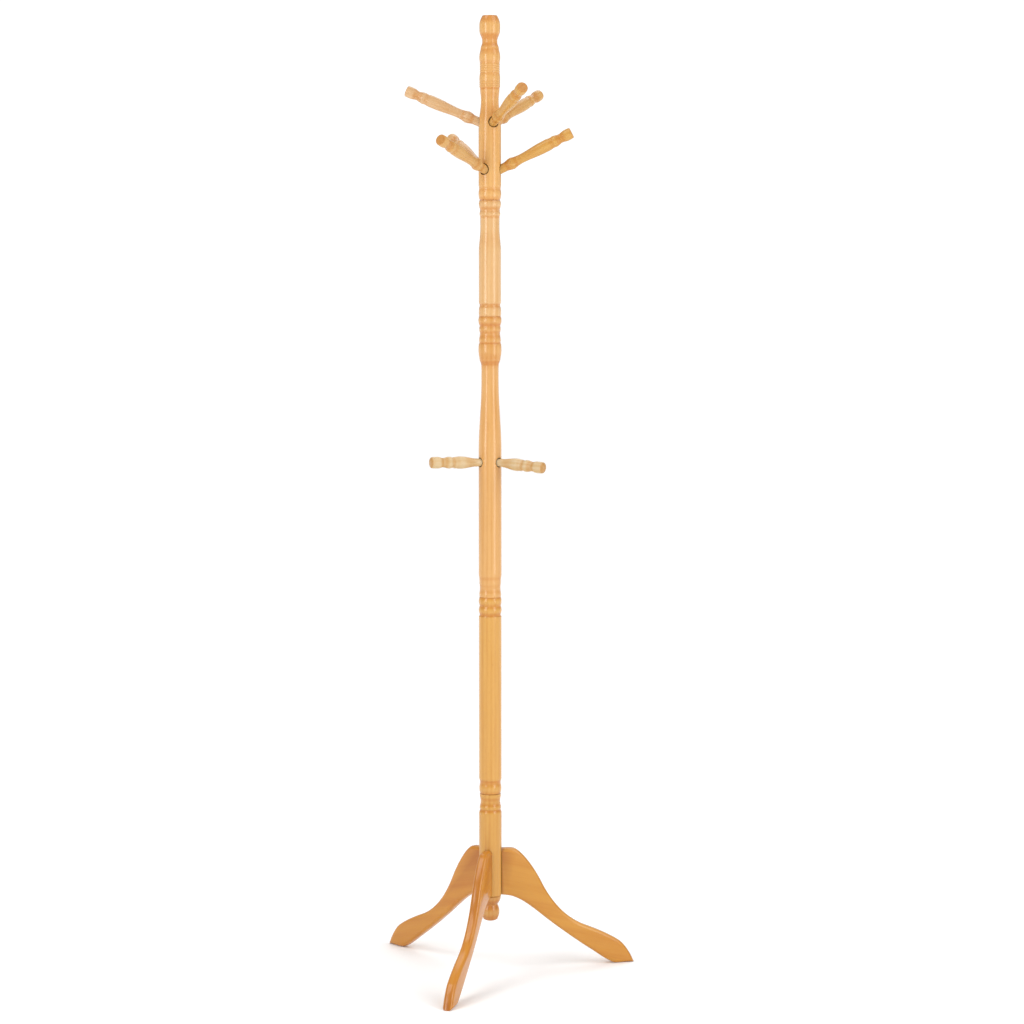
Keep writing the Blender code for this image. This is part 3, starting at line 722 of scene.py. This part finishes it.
short_outline = turned_outline(
    (8.2, 101.5),
    (10.6, 99.2, 0.5),
    (11.0, 86.0, 0.25),
    (9.0, 77.0, "ease"),
    (11.3, 63.5, "ease"),
    (9.9, 55.5, "ease"),
    (11.0, 52.0),
    (11.9, 41.0, "ease"),
    (7.8, 6.0, "ease"),
    (7.5, FIT_GAP - SHORT_SOCKET[1]),
)
SHORT_PEG_WOOD = lacquered_rubberwood(
    "lacquered_rubberwood_short_pegs", "#D3BB94", "#CEB389", "#C7A572", gloss=0.4, thirst_and_shade=0.1
)
short_peg = turned("short_peg", short_outline, PEG_SIDES, None, None, SHORT_PEG_BORE)
crisp(mark_wood(short_peg, (0.0, 0.0, 0.0), short_outline))
short_seats = [seat_of(*turn, MIDDLE_RADIUS, SHORT_ROW_HEIGHT) for turn in SHORT_PEGS]
# Each short peg is deepened by its own amount: its own tone, and painted shade where it gets less light.
short_tones_and_shades = (0.0, 0.2, 0.1)
short_pegs = set_round_post("short_pegs", short_peg, short_seats, short_tones_and_shades, 23, SHORT_PEG_WOOD)
mount(short_pegs, "short_peg_wood", "short_peg_right", "short_peg_back", "short_peg_left")


# The upper section: a short turned billet with a waist below its head rings and a step at its foot.

upper_top, upper_bottom = ends_of("upper_post", TIGHT_JOINT)
upper_outline = turned_outline(
    (19.1, upper_top),
    (19.8, upper_top - 0.8),
    (19.3, 1470.5, 1.4),
    (18.9, 1464.0, -0.4),
    (18.8, 1456.5, 0.75),
    (18.3, 1454.5),
    (18.2, 1446.0, "ease"),
    (18.2, 1433.0),
    (20.9, 1388.0, "ease"),
    (20.9, 1293.0),
    (19.7, 1285.5, -0.8),
    (20.4, 1284.0),
    (21.0, 1276.0, 0.2),
    (20.4, upper_bottom + 0.3, 0.3),
    (20.1, upper_bottom),
)
UPPER_WOOD = lacquered_rubberwood("lacquered_rubberwood_upper", "#DDB37C", "#D9AB72", "#D29E5F")
upper_section = turned("upper_section", upper_outline, POST_SIDES, UPPER_WOOD, INSERT_BORE, STUD_BORE)
crisp(mark_wood(upper_section, (3.1, 0.2, 1.9), upper_outline))
mount(onto_post(upper_section), "post_wood", "upper_post")


# The top section: a turned billet with the finial on the same piece, over two runs of fine beads and a plain
# stretch that takes the six long pegs in two rows of sloping counterbored sockets.

HEAD_RADIUS = 21.2
UPPER_ROW_HEIGHT, LOWER_ROW_HEIGHT = 1632.7, 1544.3
UPPER_PEGS = ((188.0, 23.0), (69.5, 22.0), (-51.5, 22.5))
LOWER_PEGS = ((12.0, 27.0), (134.5, 24.5), (-108.0, 20.0))
LONG_SOCKET = (10.4, 6.5, 17.3)
LONG_PEG_BORE = (3.3, 42.0)

head_top, head_bottom = ends_of("top_post")
fine_beads = [(18.3, groove, 0.55) for groove in (1736.3, 1732.1, 1727.9, 1723.7)]
finest_beads = [(19.0, groove, 0.5) for groove in (1703.4, 1700.0, 1696.6)]
head_outline = turned_outline(
    (13.2, head_top),
    (14.0, head_top - 0.7),
    (18.5, 1819.0, 0.35),
    (19.5, 1811.5, 0.25),
    (19.2, 1800.5, 0.1),
    (14.2, 1783.0, "ease"),
    (14.2, 1779.8),
    (17.1, 1769.0, "ease"),
    (17.3, 1766.8),
    (18.3, 1740.5, 1.8),
    *fine_beads,
    (19.1, 1706.8, 0.75),
    *finest_beads,
    (18.3, 1695.2),
    (16.7, 1673.0, "ease"),
    (HEAD_RADIUS, 1621.0, "ease"),
    (HEAD_RADIUS, 1514.0),
    (20.3, 1506.5, "ease"),
    (19.8, head_bottom + 0.9, 1.35),
    (19.1, head_bottom),
)
HEAD_WOOD = lacquered_rubberwood("lacquered_rubberwood_head", "#DFAC69", "#DAA560", "#D39850", bored=True)
head_section = turned("head_section", head_outline, POST_SIDES, HEAD_WOOD, None, STUD_BORE)
cut_away(head_section, sockets(UPPER_PEGS, LONG_SOCKET, HEAD_RADIUS, UPPER_ROW_HEIGHT))
cut_away(head_section, sockets(LOWER_PEGS, LONG_SOCKET, HEAD_RADIUS, LOWER_ROW_HEIGHT))
crisp(mark_wood(head_section, (4.2, 2.6, 0.4), head_outline))
socket_shade(head_section, head_outline)
mount(onto_post(head_section), "post_wood", "top_post")


# The long pegs: six turned pegs that rise outwards, with a sharp collar near the neck, a long swelling shaft,
# a bead and a blunt-ended knob. Each is held like the short ones, by a hanger bolt in a counterbore.

long_outline = turned_outline(
    (9.0, 149.3),
    (10.4, 147.7, 0.3),
    (10.8, 138.0, 0.2),
    (8.6, 125.0, "ease"),
    (10.1, 118.0, "ease"),
    (10.2, 109.0, 0.8),
    (11.3, 98.0, "ease"),
    (11.2, 90.0),
    (8.6, 42.0, "ease"),
    (9.4, 32.0, "ease"),
    (11.5, 24.0),
    (11.0, 21.5),
    (8.6, 9.0, "ease"),
    (8.4, FIT_GAP - LONG_SOCKET[1]),
)
PEG_WOOD = lacquered_rubberwood(
    "lacquered_rubberwood_long_pegs", "#D8B48C", "#D3AD81", "#CC9F6C", gloss=0.4, thirst_and_shade=0.1
)
# Each long peg is deepened by its own amount: its own tone, and painted shade where it gets less light.
for row, pegs, height, tones_and_shades, seed in (
    ("upper", UPPER_PEGS, UPPER_ROW_HEIGHT, (0.0, 0.6, 0.75), 5),
    ("lower", LOWER_PEGS, LOWER_ROW_HEIGHT, (0.8, 0.25, 0.55), 8),
):
    long_peg = turned("long_peg", long_outline, PEG_SIDES, None, None, LONG_PEG_BORE)
    crisp(mark_wood(long_peg, (0.0, 0.0, 0.0), long_outline))
    long_seats = [seat_of(*turn, HEAD_RADIUS, height) for turn in pegs]
    made = set_round_post(f"{row}_long_pegs", long_peg, long_seats, tones_and_shades, seed, PEG_WOOD)
    sides = ("left", "back", "front") if row == "upper" else ("right", "back", "front")
    mount(made, "peg_wood", *(f"{row}_peg_{side}" for side in sides))


# The hardware: zinc-plated steel studs and hanger bolts, and turned brass inserts. None of it shows once the
# rack is screwed together. The finishes go on the plain solids.


def turned_metal(name, colour, stain, roughness, pitch):
    """A metal rod as it leaves the machine: fine rings along its length, and a faint cloudy tarnish."""
    material = bpy.data.materials.new(name)
    material.use_nodes = True
    tree = material.node_tree
    shader = tree.nodes["Principled BSDF"]
    place = add_node(tree, "ShaderNodeTexCoord").outputs["Object"]
    cloud = add_node(tree, "ShaderNodeTexNoise", {"Vector": place}, {"Scale": 1 / 0.006, "Detail": 3.0})
    tint = add_node(
        tree,
        "ShaderNodeMix",
        {"Factor": cloud.outputs["Fac"]},
        {6: linear(colour), 7: linear(stain)},
        data_type="RGBA",
    )
    tree.links.new(tint.outputs[2], shader.inputs["Base Color"])
    rings = add_node(
        tree, "ShaderNodeTexWave", {"Vector": place}, {"Scale": math.pi / 10 / pitch}, bands_direction="Z"
    )
    worn = add_node(
        tree,
        "ShaderNodeMapRange",
        {"Value": cloud.outputs["Fac"]},
        {"To Min": roughness - 0.06, "To Max": roughness + 0.08},
    )
    tree.links.new(worn.outputs["Result"], shader.inputs["Roughness"])
    bump = add_node(
        tree, "ShaderNodeBump", {"Height": rings.outputs["Fac"]}, {"Strength": 0.6, "Distance": 0.0001}
    )
    tree.links.new(bump.outputs["Normal"], shader.inputs["Normal"])
    shader.inputs["Metallic"].default_value = 1.0
    return material


ZINC_STEEL = turned_metal("zinc_plated_steel", "#C9CCD0", "#AEB4BC", 0.34, 0.00125)
BRASS = turned_metal("turned_brass", "#DDBB6A", "#C29A4A", 0.28, 0.0015)
for name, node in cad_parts.items():
    finish = BRASS if name.endswith("_insert") else ZINC_STEEL
    if name.endswith(("_insert", "_stud", "_bolt")):
        node.data.materials.clear()
        node.data.materials.append(finish)


# The studio: a plain white floor under an even white sky, broad soft suns from the upper left, from the right
# and from behind, and two tall soft lamps that draw the streaks of sheen down the post.

VIEW_AZIMUTH = -73.75  # of the camera, seen from the post
VIEW_DISTANCE, VIEW_HEIGHT = 5.2, 1.434
VIEW_DIP, VIEW_TURN = 5.92, 0.46  # degrees by which the camera looks down, and to the right of the post
POST_MIDDLE = 0.95
FLOOR_HALF = 200.0
FLOOR_DROP = 0.0002  # keeps the floor clear of the toes
LAMP_WIDTH = 1.0
SKY_ON_RACK, SKY_IN_VIEW = 0.50, 1.1
post_x, post_y = (
    (low + high) / 2 for low, high in zip(*(corner.to_2d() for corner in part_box("base_post")))
)


def round_the_post(azimuth, distance, height):
    """A place at an azimuth from the post, counted from the camera's, positive to the right."""
    turn = math.radians(VIEW_AZIMUTH + azimuth)
    return Vector((post_x + distance * math.cos(turn), post_y + distance * math.sin(turn), height))


def add_light(name, kind, place, target, **settings):
    light = bpy.data.lights.new(name, kind)
    for setting, value in settings.items():
        setattr(light, setting, value)
    lamp = bpy.data.objects.new(name, light)
    lamp.location = place
    lamp.rotation_euler = (Vector(target) - place).to_track_quat("-Z", "Y").to_euler()
    lamp.visible_camera = False
    bpy.context.scene.collection.objects.link(lamp)


floor_mesh = bpy.data.meshes.new("floor")
floor_corners = [
    (x * FLOOR_HALF, y * FLOOR_HALF, -FLOOR_DROP) for x, y in ((-1, -1), (1, -1), (1, 1), (-1, 1))
]
floor_mesh.from_pydata(floor_corners, [], [(0, 1, 2, 3)])
floor = bpy.data.objects.new("floor", floor_mesh)
bpy.context.scene.collection.objects.link(floor)
floor_paint = bpy.data.materials.new("matt_white_floor")
floor_paint.use_nodes = True
floor_shader = floor_paint.node_tree.nodes["Principled BSDF"]
floor_shader.inputs["Base Color"].default_value = (0.95, 0.95, 0.95, 1.0)
floor_shader.inputs["Roughness"].default_value = 1.0
floor_shader.inputs["Specular IOR Level"].default_value = 0.0
floor_mesh.materials.append(floor_paint)

centre = Vector((post_x, post_y, POST_MIDDLE))
add_light("key_sun", "SUN", round_the_post(-70, 3.0, 6.2), centre, energy=0.8, angle=math.radians(35))
add_light("fill_sun", "SUN", round_the_post(62, 4.0, 4.3), centre, energy=0.9, angle=math.radians(45))
add_light("back_sun", "SUN", round_the_post(170, 4.0, 5.7), centre, energy=0.7, angle=math.radians(45))
for name, azimuth, low, high, energy in (
    ("left_soft_lamp", -47.0, 0.75, 2.70, 29.0),
    ("right_soft_lamp", 47.0, 0.30, 2.25, 21.0),
):
    height = (low + high) / 2
    add_light(
        name,
        "AREA",
        round_the_post(azimuth, 3.0, height),
        (post_x, post_y, height),
        energy=energy,
        shape="RECTANGLE",
        size=LAMP_WIDTH,
        size_y=high - low,
    )

world = bpy.data.worlds.new("white_sky")
world.use_nodes = True
sky = world.node_tree.nodes["Background"]
sky.inputs["Color"].default_value = (1.0, 1.0, 1.0, 1.0)
seen = add_node(world.node_tree, "ShaderNodeLightPath")
strength = add_node(
    world.node_tree,
    "ShaderNodeMapRange",
    {"Value": seen.outputs["Is Camera Ray"]},
    {"To Min": SKY_ON_RACK, "To Max": SKY_IN_VIEW},
)
world.node_tree.links.new(strength.outputs["Result"], sky.inputs["Strength"])
bpy.context.scene.world = world
bpy.context.scene.view_settings.view_transform = "Standard"

camera_data = bpy.data.cameras.new("camera")
camera_data.sensor_width = 36.0
camera_data.lens = 96.3
camera = bpy.data.objects.new("camera", camera_data)
camera.location = round_the_post(0.0, VIEW_DISTANCE, VIEW_HEIGHT)
camera.rotation_euler = Euler(
    (math.radians(90.0 - VIEW_DIP), 0.0, math.radians(VIEW_AZIMUTH + 90.0 - VIEW_TURN))
)
bpy.context.scene.collection.objects.link(camera)
bpy.context.scene.camera = camera
